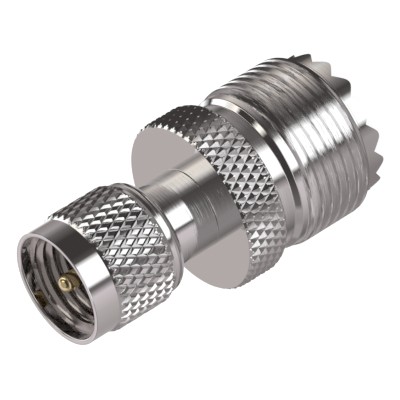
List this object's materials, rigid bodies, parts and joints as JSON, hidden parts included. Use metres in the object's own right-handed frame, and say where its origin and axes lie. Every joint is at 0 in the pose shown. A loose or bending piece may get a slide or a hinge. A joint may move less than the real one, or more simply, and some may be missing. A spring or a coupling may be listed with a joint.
{
  "type": "coax adapter",
  "caption": "Straight coax adapter with a serrated threaded socket at one end and a turning knurled coupling nut with a centre pin at the other.",
  "frame": {"origin": "on the common axis, at the level of the tooth tips of the socket's serrated rim, where the adapter stands", "axes": "+Z along the common axis from the threaded socket to the coupling nut; +X through a tooth tip"},
  "size_m": [0.0168, 0.0168, 0.0324],
  "materials": {
    "nickel_brass": "bright nickel plate on turned brass",
    "gold_brass": "thin gold plate on turned brass",
    "spring_bronze": "bare spring bronze",
    "white_ptfe": "turned white PTFE"
  },
  "bodies": {
    "body": {"socket_shell": "nickel_brass", "plug_body": "nickel_brass", "retaining_ring": "spring_bronze", "socket_contact": "gold_brass", "socket_insulator": "white_ptfe", "insulator_ring": "nickel_brass", "center_pin": "gold_brass", "plug_insulator": "white_ptfe"},
    "nut": {"coupling_nut": "nickel_brass"}
  },
  "joints": [
    {"name": "nut_spin", "type": "hinge", "parent": "body", "child": "nut", "pos_m": [0, 0, 0.0225], "axis": [0, 0, 1], "continuous": true}
  ]
}
